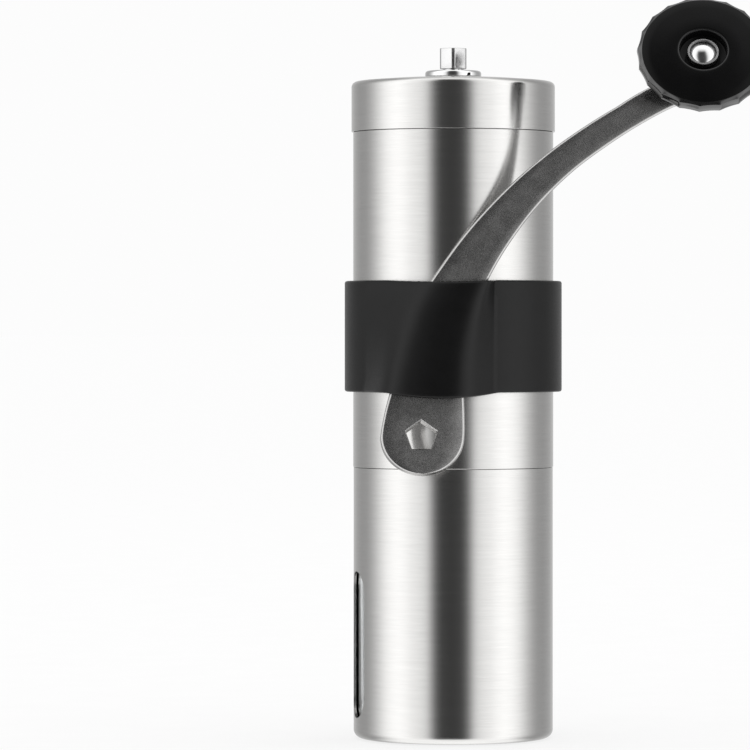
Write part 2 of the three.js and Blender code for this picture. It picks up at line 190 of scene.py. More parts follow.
def brushed_steel(name, colour, roughness, anisotropy, streak=0.05, bump=0.05):
    """Steel brushed round the Z axis: fine scratches run round, and highlights spread up and down."""
    material, g, shader = new_material(name)
    fine = g.noise(g.stretched((160, 160, 5200)), 1.0, 3.0, 0.7)
    broad = g.noise(g.stretched((40, 40, 900)), 1.0, 2.0, 0.6)
    cloud = g.noise(g.stretched((60, 60, 45)), 1.0, 2.0, 0.5)
    mixed = g.math("ADD", g.math("MULTIPLY", fine, 0.75), g.math("MULTIPLY", broad, 0.25))
    g.link(tint(g, mixed, *shades(colour, 1 - streak, 1 + streak)), shader.inputs["Base Color"])
    scratched = g.spread(mixed, roughness * 0.92, roughness * 1.08)
    clouded = g.math("MULTIPLY", g.math("SUBTRACT", cloud, 0.5), 0.015)
    g.link(g.math("ADD", scratched, clouded), shader.inputs["Roughness"])
    shader.inputs["Metallic"].default_value = 1.0
    shader.inputs["Anisotropic"].default_value = anisotropy
    shader.inputs["Anisotropic Rotation"].default_value = 0.25
    tangent = g.add("ShaderNodeTangent")
    tangent.direction_type = "RADIAL"
    tangent.axis = "Z"
    g.link(tangent.outputs["Tangent"], shader.inputs["Tangent"])
    g.link(g.bump(mixed, bump, 0.00004), shader.inputs["Normal"])
    return material


def satin_plate(name, colour, roughness):
    """Tumbled flat steel: an even fine mottle with no direction."""
    material, g, shader = new_material(name)
    grain = g.noise(g.stretched(EVEN), 2600.0, 3.0, 0.7)
    patch = g.noise(g.stretched(EVEN), 320.0, 3.0, 0.6)
    mixed = g.math("ADD", g.math("MULTIPLY", grain, 0.6), g.math("MULTIPLY", patch, 0.4))
    g.link(tint(g, mixed, *shades(colour, 0.86, 1.14)), shader.inputs["Base Color"])
    g.link(g.spread(mixed, roughness * 0.8, roughness * 1.2), shader.inputs["Roughness"])
    shader.inputs["Metallic"].default_value = 1.0
    g.link(g.bump(mixed, 0.18, 0.00008), shader.inputs["Normal"])
    return material


def polished(name, colour, roughness):
    """Smooth metal with a faint smear."""
    material, g, shader = new_material(name)
    smear = g.noise(g.stretched(EVEN), 700.0, 2.0, 0.5)
    g.link(tint(g, smear, *shades(colour, 0.96, 1.0)), shader.inputs["Base Color"])
    g.link(g.spread(smear, roughness * 0.7, roughness * 1.3), shader.inputs["Roughness"])
    shader.inputs["Metallic"].default_value = 1.0
    g.link(g.bump(smear, 0.03, 0.00005), shader.inputs["Normal"])
    return material


def plastic(name, colour, roughness, specular, scale, relief, coat=0.0):
    """Plastic, rubber or ceramic: an even grain over faint clouds."""
    material, g, shader = new_material(name)
    grain = g.noise(g.stretched(EVEN), scale, 3.0, 0.6)
    cloud = g.noise(g.stretched(EVEN), scale * 0.12, 2.0, 0.5)
    g.link(tint(g, cloud, *shades(colour, 0.85, 1.15)), shader.inputs["Base Color"])
    g.link(g.spread(grain, roughness * 0.85, roughness * 1.15), shader.inputs["Roughness"])
    shader.inputs["Specular IOR Level"].default_value = specular
    shader.inputs["Coat Weight"].default_value = coat
    g.link(g.bump(grain, relief, 0.00005), shader.inputs["Normal"])
    return material


def clear(name):
    """Clear plastic with slight flow marks."""
    material, g, shader = new_material(name)
    flow = g.noise(g.stretched(EVEN), 130.0, 2.0, 0.5)
    g.link(tint(g, flow, (0.93, 0.96, 0.97), (0.97, 0.98, 0.98)), shader.inputs["Base Color"])
    g.link(g.spread(flow, 0.04, 0.09), shader.inputs["Roughness"])
    shader.inputs["Transmission Weight"].default_value = 1.0
    shader.inputs["IOR"].default_value = 1.49
    return material


STEEL = brushed_steel("brushed_tube_steel", (0.63, 0.625, 0.615), 0.2, 0.8)
CAP_STEEL = brushed_steel("brushed_cap_steel", (0.64, 0.635, 0.625), 0.2, 0.8)
ARM_STEEL = satin_plate("tumbled_arm_steel", (0.5, 0.495, 0.49), 0.26)
SHAFT_STEEL = polished("turned_shaft_steel", (0.6, 0.6, 0.6), 0.16)
BRIGHT = polished("polished_steel", (0.8, 0.8, 0.8), 0.09)
HEAD_STEEL = polished("milled_head_steel", (0.66, 0.66, 0.66), 0.24)
WASHER_STEEL = polished("dull_washer_steel", (0.3, 0.3, 0.3), 0.4)
INNER_STEEL = satin_plate("plain_steel", (0.45, 0.45, 0.45), 0.35)
GLOSS_BLACK = plastic("gloss_black_plastic", (0.004, 0.004, 0.0041), 0.16, 0.1, 1200.0, 0.01)
RIM_BLACK = plastic("polished_black_edge", (0.006, 0.006, 0.0062), 0.12, 0.9, 1200.0, 0.01, coat=0.5)
LIP_BLACK = plastic("satin_black_lip", (0.006, 0.006, 0.0062), 0.2, 0.4, 1200.0, 0.01)
GREY_PLASTIC = plastic("dark_plastic", (0.03, 0.03, 0.032), 0.5, 0.4, 2200.0, 0.1)
RUBBER = plastic("black_rubber", (0.003, 0.003, 0.0031), 0.36, 0.25, 2600.0, 0.06)
CERAMIC = plastic("fired_ceramic", (0.82, 0.8, 0.74), 0.42, 0.5, 3000.0, 0.12)
BRONZE = polished("sintered_bronze", (0.62, 0.46, 0.26), 0.38)
CLEAR = clear("clear_plastic")


# ---------------------------------------------------------------- mesh helpers
def make(name, vertices, faces, material, node, sharp=40.0):
    """A mesh from points in millimetres. It stands for CAD node `node`, if one is given."""
    mesh = bpy.data.meshes.new(name)
    points = np.asarray(vertices, float) * MM
    mesh.from_pydata([tuple(p) for p in points], [], faces)
    mesh.validate()
    obj = bpy.data.objects.new(name, mesh)
    bpy.context.scene.collection.objects.link(obj)
    dress(obj, material, sharp)
    if node:
        settle(obj, node)
    return obj


def dress(obj, material, sharp):
    """One material, smooth faces, and hard edges where faces meet at over `sharp` degrees."""
    obj.data.materials.clear()
    obj.data.materials.append(material)
    for polygon in obj.data.polygons:
        polygon.use_smooth = True
    obj.data.set_sharp_from_angle(angle=math.radians(sharp))


def settle(obj, node):
    """Puts obj in the place of a CAD node, on that node's body."""
    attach(obj, frame["nodes"][node]["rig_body"])
    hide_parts(node)


def arc(r, z, size, a, b, steps):
    """A quarter round as [radius, z] pairs, from angle a to b in degrees."""
    angles = [math.radians(a + (b - a) * i / steps) for i in range(steps + 1)]
    return [[r + size * math.cos(t), z + size * math.sin(t)] for t in angles]


def turned(profile, segments=256, closed=True):
    """Vertices and faces of a profile of [radius, z] turned about Z. A point on the axis is one vertex."""
    vertices, rows, faces = [], [], []
    for r, z in profile:
        if r < 1e-6:
            rows.append([len(vertices)] * segments)
            vertices.append((0.0, 0.0, z))
        else:
            rows.append(list(range(len(vertices), len(vertices) + segments)))
            for i in range(segments):
                a = 2 * math.pi * i / segments
                vertices.append((r * math.cos(a), r * math.sin(a), z))
    count = len(rows)
    for j in range(count if closed else count - 1):
        low, high = rows[j], rows[(j + 1) % count]
        if low[0] == low[1] and high[0] == high[1]:
            continue
        for i in range(segments):
            k = (i + 1) % segments
            face = [low[i], low[k], high[k], high[i]]
            face = [v for n, v in enumerate(face) if v != face[n - 1]]
            faces.append(face)
    return np.array(vertices), faces


def lay_along(vertices, normal, centre):
    """Turns points made along +Z so that +Z lies along normal and +Y points up."""
    back = np.array(normal) / np.linalg.norm(normal)
    up = np.array([0.0, 0.0, 1.0]) - back * back[2]
    up /= np.linalg.norm(up)
    side = np.cross(up, back)
    return np.asarray(vertices) @ np.array([side, up, back]) + np.array(centre)


def apply_modifiers(obj):
    graph = bpy.context.evaluated_depsgraph_get()
    mesh = bpy.data.meshes.new_from_object(obj.evaluated_get(graph))
    obj.modifiers.clear()
    obj.data = mesh


def cut(obj, cutter):
    """Takes cutter away from obj and removes it."""
    modifier = obj.modifiers.new("cut", "BOOLEAN")
    modifier.operation = "DIFFERENCE"
    modifier.solver = "EXACT"
    modifier.object = cutter
    apply_modifiers(obj)
    bpy.data.objects.remove(cutter)


def bevel(obj, width, segments=3, angle=35.0):
    """Rounds the edges where faces meet at over `angle` degrees."""
    modifier = obj.modifiers.new("bevel", "BEVEL")
    modifier.width = width * MM
    modifier.segments = segments
    modifier.limit_method = "ANGLE"
    modifier.angle_limit = math.radians(angle)
    apply_modifiers(obj)


def prism_points(outline, low, high):
    """Vertices and faces of a flat outline of [x, y] pairs drawn up from low to high."""
    n = len(outline)
    vertices = [(x, y, low) for x, y in outline] + [(x, y, high) for x, y in outline]
    faces = [list(range(n))[::-1], list(range(n, 2 * n))]
    faces += [[i, (i + 1) % n, n + (i + 1) % n, n + i] for i in range(n)]
    return np.array(vertices), faces


def five_sides(radius, turn):
    """The corners of a five-sided outline, one of them at angle turn from +Y."""
    angles = [turn + 2 * math.pi * i / 5 for i in range(5)]
    return [(radius * math.sin(a), radius * math.cos(a)) for a in angles][::-1]


# ---------------------------------------------------------------- cup, tube, lid
cup_profile = (
    [[0, 0], [12, 0]]
    + arc(CUP_R - CUP_CORNER, CUP_CORNER, CUP_CORNER, -90, 0, 14)
    + [[CUP_R, 20], [CUP_R, 42], [CUP_R, CUP_TOP - 0.06], [CUP_R - 0.06, CUP_TOP]]
    + [[CUP_R - 0.5, CUP_TOP], [CUP_R - 0.6, CUP_TOP - 0.1]]
    + arc(CUP_R - CUP_CORNER, CUP_CORNER, CUP_CORNER - 0.6, 0, -90, 6)
    + [[0, 0.6]]
)
vertices, faces = turned(cup_profile, 256, closed=False)
cup = make("cup_shell_skin", vertices, faces, STEEL, None, 30)
slot_outline = [
    (SLOT_HALF * math.cos(start + math.pi * i / 24), z + SLOT_HALF * math.sin(start + math.pi * i / 24))
    for start, z in ((math.pi, SLOT_LOW + SLOT_HALF), (0.0, SLOT_HIGH - SLOT_HALF))
    for i in range(25)
]
vertices, faces = prism_points(slot_outline, SLOT_CUT_IN, SLOT_CUT_OUT)
slot_turn = math.radians(-SLOT_AZIMUTH)
outward = np.array([math.sin(slot_turn), -math.cos(slot_turn), 0.0])
across = np.array([math.cos(slot_turn), math.sin(slot_turn), 0.0])
vertices = vertices @ np.array([across, [0.0, 0.0, 1.0], outward])
cut(cup, make("slot_tool", vertices, faces, STEEL, None))
dress(cup, STEEL, 30)
settle(cup, "cup_shell")

liner_profile = (
    [[0, 1.1]]
    + arc(21.4, 2.2, 1.1, -90, 0, 6)
    + [[22.5, 24], [22.5, 46.4], [22.3, 46.6], [21.7, 46.6], [21.5, 46.4]]
    + arc(21.2, 2.4, 0.3, 0, -90, 3)
    + [[0, 2.1]]
)
vertices, faces = turned(liner_profile, 192, closed=False)
make("cup_liner_skin", vertices, faces, CLEAR, "cup_liner", 30)

tube_profile = [
    [TUBE_IN, SEAM_Z + 0.1],
    [TUBE_IN + 0.1, SEAM_Z],
    [TUBE_R - 0.1, SEAM_Z],
    [TUBE_R, SEAM_Z + 0.1],
    [TUBE_R, 90],
    [TUBE_R, 116],
    [TUBE_R, TUBE_TOP - 0.1],
    [TUBE_R - 0.1, TUBE_TOP],
    [TUBE_IN + 0.1, TUBE_TOP],
    [TUBE_IN, TUBE_TOP - 0.1],
]
vertices, faces = turned(tube_profile)
make("body_tube_skin", vertices, faces, STEEL, "body_tube", 30)

cap_profile = (
    [[23.35, CAP_Z + 0.1], [23.45, CAP_Z], [CAP_R - 0.06, CAP_Z], [CAP_R, CAP_Z + 0.06]]
    + [[CAP_R, 148]]
    + arc(22.65, 153.0, 1.3, 0, 84, 12)
    + [[20, 154.5], [17.5, 154.72], [15, 154.9], [12, 155.03], [8, 155.15], [5.3, CAP_TOP]]
    + [[5.1, CAP_TOP - 0.15], [5.1, CAP_TOP - 0.5], [5.3, CAP_TOP - 0.6], [12.0, 154.4]]
    + [[17.5, 154.1], [22.4, 153.65], [23.35, 152.9]]
)
vertices, faces = turned(cap_profile)
make("lid_cap_skin", vertices, faces, CAP_STEEL, "lid_cap", 30)

collar_profile = (
    [[3.9, 151.1], [4.0, 151.0], [4.7, 151.0], [4.8, 151.1], [4.8, 155.4], [4.9, 155.45]]
    + [[6.45, 155.45], [6.6, 155.6]]
    + arc(5.9, 156.2, 0.7, 0, 90, 8)
    + [[4.6, 156.9]]
    + arc(4.6, 156.2, 0.7, 90, 180, 6)
)
vertices, faces = turned(collar_profile, 128)
make("lid_collar_skin", vertices, faces, BRIGHT, "lid_collar", 30)

# ---------------------------------------------------------------- shaft with a five-sided head
shaft_profile = [
    [0, 48],
    [2.1, 48],
    [2.5, 48.4],
    [2.5, 57.2],
    [3.0, 57.25],
    [3.0, 156.5],
    [2.85, 156.8],
    [2.4, 157.0],
    [2.4, HEAD_Z + 0.5],
    [0, HEAD_Z + 0.5],
]
vertices, faces = turned(shaft_profile, 96, closed=False)
make("drive_shaft_skin", vertices, faces, SHAFT_STEEL, "drive_shaft", 30)
corners = five_sides(HEAD_R, math.pi)
# each corner is broken by a narrow land
landed = []
for i, (x, y) in enumerate(corners):
    for ox, oy in (corners[i - 1], corners[(i + 1) % len(corners)]):
        reach = CORNER_LAND / math.hypot(ox - x, oy - y)
        landed.append((x + (ox - x) * reach, y + (oy - y) * reach))
vertices, faces = prism_points(landed, HEAD_Z, SHAFT_TOP)
head = make("shaft_head", vertices, faces, HEAD_STEEL, None)
bevel(head, CORNER_ROUND)
dress(head, HEAD_STEEL, 50)
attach(head, "shaft")

# ---------------------------------------------------------------- spring between the shaft and the cone
SPRING_R, SPRING_LOW, SPRING_HIGH, SPRING_TURNS, WIRE_R = 4.3, 71.2, 76.0, 3.5, 0.45


def spring_mesh(steps=168, sides=12):
    """Vertices and faces of a round wire wound up the Z axis."""
    points = []
    for i in range(steps + 1):
        a = 2 * math.pi * SPRING_TURNS * i / steps
        z = SPRING_LOW + (SPRING_HIGH - SPRING_LOW) * i / steps
        for j in range(sides):
            b = 2 * math.pi * j / sides
            r = SPRING_R + WIRE_R * math.cos(b)
            points.append((r * math.cos(a), r * math.sin(a), z + WIRE_R * math.sin(b)))
    quads = [list(range(sides)), [steps * sides + j for j in range(sides)][::-1]]
    for i in range(steps):
        for j in range(sides):
            k = (j + 1) % sides
            quads.append([i * sides + j, (i + 1) * sides + j, (i + 1) * sides + k, i * sides + k])
    return np.array(points), quads


vertices, faces = spring_mesh()
spring = make("burr_spring_skin", vertices, faces, BRIGHT, None)
dress(spring, BRIGHT, 40)
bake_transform(spring)
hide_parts("burr_spring")


# ---------------------------------------------------------------- crank arm
def smooth(value, width):
    """The value where it is positive and 0 where it is not, rounded over width on each side."""
    value = np.asarray(value, float)
    middle = (value + width) ** 2 / (4 * width)
    return np.where(value > width, value, np.where(value < -width, 0.0, middle))


def plate_y(x, z):
    """The middle of the arm's plate: a flat neck, with the hub and the knob's end bent away."""
    main = PLATE_Y + PLATE_SLOPE * x
    end = PIVOT[1] + math.tan(math.radians(KNOB_TILT)) * (z - PIVOT[2])
    hub = math.tan(math.radians(HUB_TILT)) * (HUB_BEND - z)
    return main - smooth(hub, HUB_BLEND) + smooth(end - main, END_BLEND)


def plate_normal(x, z):
    """The way the plate's front faces."""
    h = 0.05
    dx = (plate_y(x + h, z) - plate_y(x - h, z)) / (2 * h)
    dz = (plate_y(x, z + h) - plate_y(x, z - h)) / (2 * h)
    n = np.stack([dx, -np.ones_like(dx), dz], -1)
    return n / np.linalg.norm(n, axis=-1, keepdims=True)


ARM_LINE = np.array([
    [HUB_X, HUB_Z, HUB_R],
    [-6.65, 76.0, 9.25],
    [-6.0, 81.0, 8.5],
    [-4.6, 90.1, 7.5],
    [-2.0, 99.5, 6.7],
    [2.1, 107.9, 5.6],
    [7.8, 116.7, 4.8],
    [16.1, 126.6, 4.0],
    [25.0, 134.8, 3.5],
    [33.4, 140.9, 3.3],
    [41.1, 145.7, 3.15],
    [48.9, 149.9, 3.15],
    [53.7, 152.2, 3.8],
    [PIVOT[0], PIVOT[2], END_R],
])


def hermite(values, place):
    """A smooth line through values at 0, 1, 2... with level ends."""
    last = len(values) - 1
    i = min(int(place), last - 1)
    f = place - i
    a, b = values[i], values[i + 1]
    ma = 0.0 if i == 0 else (b - values[i - 1]) / 2
    mb = 0.0 if i + 2 > last else (values[i + 2] - a) / 2
    return (
        (2 * f**3 - 3 * f**2 + 1) * a
        + (f**3 - 2 * f**2 + f) * ma
        + (3 * f**2 - 2 * f**3) * b
        + (f**3 - f**2) * mb
    )


def centripetal(points, place):
    """Centripetal Catmull-Rom through points, as the CAD arm's centre line."""
    last = len(points) - 1
    i = min(int(place), last - 1)
    w = place - i
    p1, p2 = points[i], points[i + 1]
    p0 = points[i - 1] if i > 0 else 2 * p1 - p2
    p3 = points[i + 2] if i + 2 <= last else 2 * p2 - p1
    d0, d1, d2 = (math.sqrt(np.linalg.norm(b - a)) for a, b in ((p0, p1), (p1, p2), (p2, p3)))
    t1 = ((p1 - p0) / d0 - (p2 - p0) / (d0 + d1) + (p2 - p1) / d1) * d1
    t2 = ((p2 - p1) / d1 - (p3 - p1) / (d1 + d2) + (p3 - p2) / d2) * d1
    c2 = -3 * p1 + 3 * p2 - 2 * t1 - t2
    c3 = 2 * p1 - 2 * p2 + t1 + t2
    return p1 + t1 * w + c2 * w**2 + c3 * w**3


HUB_STEPS = 24


def arm_stations(spans=150, end_steps=14):
    """[x, z, across x, across z, half width] from the hub's lower edge to the far end."""
    rows = []
    for i in range(1, HUB_STEPS):
        a = math.pi / 2 * i / HUB_STEPS
        rows.append([HUB_X, HUB_Z - HUB_DROP * math.cos(a), 1.0, 0.0, HUB_R * math.sin(a)])
    last = len(ARM_LINE) - 1
    for i in range(spans + 1):
        t = i / spans
        p = centripetal(ARM_LINE[:, :2], t * last)
        before = centripetal(ARM_LINE[:, :2], max(0.0, t - 1e-4) * last)
        after = centripetal(ARM_LINE[:, :2], min(1.0, t + 1e-4) * last)
        d = (after - before) / np.linalg.norm(after - before)
        lean = min(1.0, t * 5)
        across = np.array([d[1] * lean + (1 - lean), -d[0] * lean])
        across /= np.linalg.norm(across)
        rows.append([*p, *across, hermite(ARM_LINE[:, 2], t * last)])
    for i in range(1, end_steps):
        a = math.pi / 2 * i / end_steps
        reach = END_R * math.sin(a)
        rows.append([PIVOT[0] + d[0] * reach, PIVOT[2] + d[1] * reach, d[1], -d[0], END_R * math.cos(a)])
    return np.array(rows)


STATIONS = arm_stations()


def arm_mesh(edge=0.62, steps=5):
    """Vertices and faces of the plate, its edges rounded with radius edge."""
    half_t = PLATE / 2
    ring = []
    for cx, cy, a0 in ((1, -1, -90), (1, 1, 0), (-1, 1, 90), (-1, -1, 180)):
        for k in range(steps + 1):
            a = math.radians(a0 + 90 * k / steps)
            ring.append((cx, edge * (math.cos(a) - cx), cy * (half_t - edge) + edge * math.sin(a)))
        if cy == 1 and cx == 1:
            ring += [(0.6, 0.0, half_t), (0.2, 0.0, half_t), (-0.2, 0.0, half_t), (-0.6, 0.0, half_t)]
    ring += [(-0.6, 0.0, -half_t), (-0.2, 0.0, -half_t), (0.2, 0.0, -half_t), (0.6, 0.0, -half_t)]
    vertices = []
    for x0, z0, ax, az, half in STATIONS:
        for share, inset, thick in ring:
            side = math.copysign(1, share)
            wide = side * max(half + side * inset, half * 0.3) if abs(share) == 1 else share * (half - edge)
            x, z = x0 + ax * wide, z0 + az * wide
            n = plate_normal(np.array(x), np.array(z))
            vertices.append(np.array([x, float(plate_y(x, z)), z]) - n * thick)
    n = len(ring)
    faces = [list(range(n))]
    for j in range(len(STATIONS) - 1):
        for i in range(n):
            k = (i + 1) % n
            faces.append([j * n + k, j * n + i, (j + 1) * n + i, (j + 1) * n + k])
    top = (len(STATIONS) - 1) * n
    faces.append([top + i for i in range(n)][::-1])
    return np.array(vertices), faces


hub_centre = np.array([SOCKET_X, float(plate_y(SOCKET_X, HUB_Z)), HUB_Z])
hub_normal = plate_normal(np.array(SOCKET_X), np.array(HUB_Z))
knob_normal = np.array([0.0, -math.cos(math.radians(KNOB_TILT)), math.sin(math.radians(KNOB_TILT))])

vertices, faces = arm_mesh()
arm = make("crank_arm_skin", vertices, faces, ARM_STEEL, None)
pentagon = five_sides(SOCKET, 0.0)
vertices, faces = prism_points(pentagon, -TOOL_REACH, TOOL_REACH)
cut(arm, make("socket_tool", lay_along(vertices, hub_normal, hub_centre), faces, ARM_STEEL, None))
# the socket's front edge is broken by a narrow chamfer
vertices, faces = prism_points(pentagon, PLATE / 2 - SOCKET_CHAMFER, PLATE / 2 + SOCKET_CHAMFER)
vertices[len(pentagon):, :2] *= 1 + 2 * SOCKET_CHAMFER / SOCKET
cut(arm, make("chamfer_tool", lay_along(vertices, hub_normal, hub_centre), faces, ARM_STEEL, None))
circle = [(EYE_R * math.cos(2 * math.pi * i / 48), EYE_R * math.sin(2 * math.pi * i / 48)) for i in range(48)]
vertices, faces = prism_points(circle, -TOOL_REACH, TOOL_REACH)
cut(arm, make("eye_tool", lay_along(vertices, knob_normal, PIVOT), faces, ARM_STEEL, None))
dress(arm, ARM_STEEL, 38)
settle(arm, "crank_arm")

# ---------------------------------------------------------------- knob
FLUTES, FLUTE_PHASE, FLUTE_DEPTH = 20, 0.25, 0.34
FLUTE_TOP = 11.2
# the flutes are cut outside radius GRIP_R, and their depth grows from radius FLUTE_R over FLUTE_GROWTH
GRIP_R, FLUTE_R, FLUTE_GROWTH = 9.3, 9.2, 5
RIM_R, LIP_IN, LIP_OUT, LIP_LOW = 14.05, 5.41, 6.0, 11.2
knob_profile = (
    [[1.8, 2.6], [1.9, 2.5], [6.2, 2.5], [6.8, 2.65], [7.4, 3.1], [8.4, 3.75], [10.4, 5.2]]
    + [[12.2, 6.7], [13.4, 7.6], [14.5, 8.15], [15.0, 8.5], [15.2, 8.9]]
    + [[15.2, 9.8], [15.15, 10.6], [15.05, 10.9], [14.75, 11.1], [14.3, 11.25], [14.1, 11.36]]
    + [[12.0, 11.58], [9.0, 11.85], [6.2, 12.0], [5.85, 11.98], [5.6, 11.88], [5.45, 11.65], [5.4, 11.3]]
    + [[5.4, 9.7], [5.3, 9.5], [5.1, 9.4], [1.9, 9.4], [1.8, 9.5]]
)
vertices, faces = turned(knob_profile, FLUTES * 12)
radius = np.hypot(vertices[:, 0], vertices[:, 1])
angle = np.arctan2(vertices[:, 1], vertices[:, 0])
u = 2 * np.mod(angle / (2 * math.pi) * FLUTES + FLUTE_PHASE, 1.0) - 1
grip = (radius > GRIP_R) & (vertices[:, 2] < FLUTE_TOP)
depth = FLUTE_DEPTH * np.minimum(1.0, (radius - FLUTE_R) / FLUTE_GROWTH) * (1 - u * u)
scale = np.where(grip, 1 - depth / radius, 1.0)
vertices[:, 0] *= scale
vertices[:, 1] *= scale


def finish_of(points):
    """The material slot of a face: 1 on the rim, 2 on the lip of the recess, 0 elsewhere."""
    if all(radius[i] > RIM_R for i in points):
        return 1
    if all(LIP_IN < radius[i] < LIP_OUT and vertices[i][2] > LIP_LOW for i in points):
        return 2
    return 0


finishes = [finish_of(face) for face in faces]
knob = make("crank_knob_skin", lay_along(vertices, knob_normal, PIVOT), faces, GLOSS_BLACK,
            "crank_knob", 32)
knob.data.materials.append(RIM_BLACK)
knob.data.materials.append(LIP_BLACK)
for polygon, finish in zip(knob.data.polygons, finishes):
    polygon.material_index = finish

pin_profile = (
    [[0, -2.4], [1.6, -2.4], [2.1, -2.15], [2.3, -1.8], [2.3, -1.45], [1.5, -1.45], [1.5, 9.95]]
    + [[2.75, 9.95], [2.85, 10.02], [2.84, 10.2], [2.7, 10.38], [2.3, 10.6], [1.8, 10.76], [1.2, 10.87]]
    + [[0.6, 10.93], [0, 10.95]]
)
vertices, faces = turned(pin_profile, 64, closed=False)
make("knob_pin_skin", lay_along(vertices, knob_normal, PIVOT), faces, BRIGHT,
     "knob_pin", 40)


def washer(name, inner, outer, low, high, node, material):
    """A flat ring on the knob's axis, its edges broken by c."""
    c = min(0.12, (high - low) / 4)
    profile = [
        [inner, low + c], [inner + c, low], [outer - c, low], [outer, low + c],
        [outer, high - c], [outer - c, high], [inner + c, high], [inner, high - c],
    ]
    v, f = turned(profile, 64)
    return make(name, lay_along(v, knob_normal, PIVOT), f, material, node, 50)


dish_profile = [
    [1.8, 9.55], [1.85, 9.5], [3.5, 9.5], [3.6, 9.6], [3.6, 10.85], [3.55, 10.96], [3.45, 11.0],
    [3.25, 11.0], [3.15, 10.96], [3.1, 10.85], [3.1, 10.0], [3.0, 9.9], [1.85, 9.9], [1.8, 9.85],
]
vertices, faces = turned(dish_profile, 96)
make("knob_head_washer_skin", lay_along(vertices, knob_normal, PIVOT), faces, WASHER_STEEL,
     "knob_head_washer", 40)
washer("knob_washer_skin", 1.8, 5.0, 1.45, 2.2, "knob_washer", BRIGHT)


# ---------------------------------------------------------------- rubber band
def edge_x(side, z):
    """Where the arm's edge is at height z, on the side -1 or 1."""
    rows = STATIONS[HUB_STEPS:]
    xs = rows[:, 0] + side * rows[:, 4] * rows[:, 2]
    zs = rows[:, 1] + side * rows[:, 4] * rows[:, 3]
    first = int(np.argmax(zs > z))
    a, b = first - 1, first
    return xs[a] + (xs[b] - xs[a]) * (z - zs[a]) / (zs[b] - zs[a])


COLUMNS = (70, 10, 40, 16, 70)
BAND_GAP, BAND_WALL = 0.4, 0.9
# where the band leaves the tube, left and right of the arm, on its inner and outer face
FEET_IN, FEET_OUT = (-14.6, 8.4), (-19.5, 9.5)
SOFTEN_PASSES = 34
SAG_MIDDLE, SAG_REACH = -2.5, 13


def band_line(r, feet, crests, front, slope, crown=0.0, soften=0):
    """
    The closed line round the tube and over the arm, as points in order of angle.

    It runs round radius r, leaves it at two feet and passes over two crests at the arm's edges.
    """
    foot = [np.array([x, -math.sqrt(r**2 - x**2)]) for x in feet]
    crest = [np.array([crests[0], front]), np.array([crests[1], front + slope * (crests[1] - crests[0])])]
    a0, a1 = math.atan2(foot[0][0], -foot[0][1]), math.atan2(foot[1][0], -foot[1][1])
    points = []
    for i in range(COLUMNS[0]):
        a = -math.pi + (a0 + math.pi) * i / COLUMNS[0]
        points.append([r * math.sin(a), -r * math.cos(a)])
    for n, (p, q) in zip(COLUMNS[1:4], ((foot[0], crest[0]), (crest[0], crest[1]), (crest[1], foot[1]))):
        bulge = crown if p is crest[0] else 0.0
        for i in range(n):
            f = i / n
            point = p + (q - p) * f
            point[1] -= bulge * 4 * f * (1 - f)
            points.append(point)
    for i in range(COLUMNS[4]):
        a = a1 + (math.pi - a1) * i / COLUMNS[4]
        points.append([r * math.sin(a), -r * math.cos(a)])
    points = np.array(points)
    first, last = COLUMNS[0], sum(COLUMNS[:4])
    for _ in range(soften):
        middle = points[first - 1 : last - 2].copy()
        points[first - 1 : last - 2] = (
            points[first - 2 : last - 3] + 2 * middle + points[first : last - 1]
        ) / 4
    return points


def band_mesh():
    """Vertices and faces of the band: a loop of [share of thickness, level], drawn round the tube."""
    rows = 30
    loop = [(0.0, i / 8) for i in range(9)][::-1]
    loop += [(0.1 + 0.62 * k / 3, 0.0) for k in range(4)]
    loop += [(0.86, 0.003), (0.95, 0.009), (1.0, 0.02)]
    loop += [(1.0, 0.02 + 0.96 * i / rows) for i in range(1, rows + 1)]
    loop += [(0.95, 0.991), (0.86, 0.997)]
    loop += [(0.1 + 0.62 * k / 3, 1.0) for k in range(4)][::-1]
    vertices = []
    for share, level in loop:
        z = BAND_LOW + (BAND_HIGH - BAND_LOW) * level
        left, right = edge_x(-1, z - 1) - BAND_GAP, edge_x(1, z - 1) + BAND_GAP
        front = PLATE_Y - PLATE / 2 + PLATE_SLOPE * left - BAND_GAP
        feet = [min(FEET_IN[0], left - 0.5), max(FEET_IN[1], right + 0.9)]
        inner = band_line(BAND_IN, feet, [left, right], front, PLATE_SLOPE)
        feet = [min(FEET_OUT[0], left - 5), max(FEET_OUT[1], right + 1.9)]
        crests = [left - 0.9, right + 0.7]
        outer = band_line(BAND_OUT, feet, crests, front - BAND_WALL, BAND_LEAN, BAND_CROWN, SOFTEN_PASSES)
        points = inner + (outer - inner) * share
        across = np.clip(1 - ((points[:, 0] - SAG_MIDDLE) / SAG_REACH) ** 2, 0, None)
        sag = BAND_SAG * (1 - level) + BAND_TOP_SAG * level
        drop = np.where(points[:, 1] < 0, across * sag, 0.0)
        vertices.append(np.column_stack([points, z - drop]))
    n = sum(COLUMNS)
    faces = []
    for j in range(len(loop)):
        k = (j + 1) % len(loop)
        for i in range(n):
            m = (i + 1) % n
            faces.append([j * n + i, k * n + i, k * n + m, j * n + m][::-1])
    return np.vstack(vertices), faces


vertices, faces = band_mesh()
make("grip_band_skin", vertices, faces, RUBBER, "grip_band", 45)

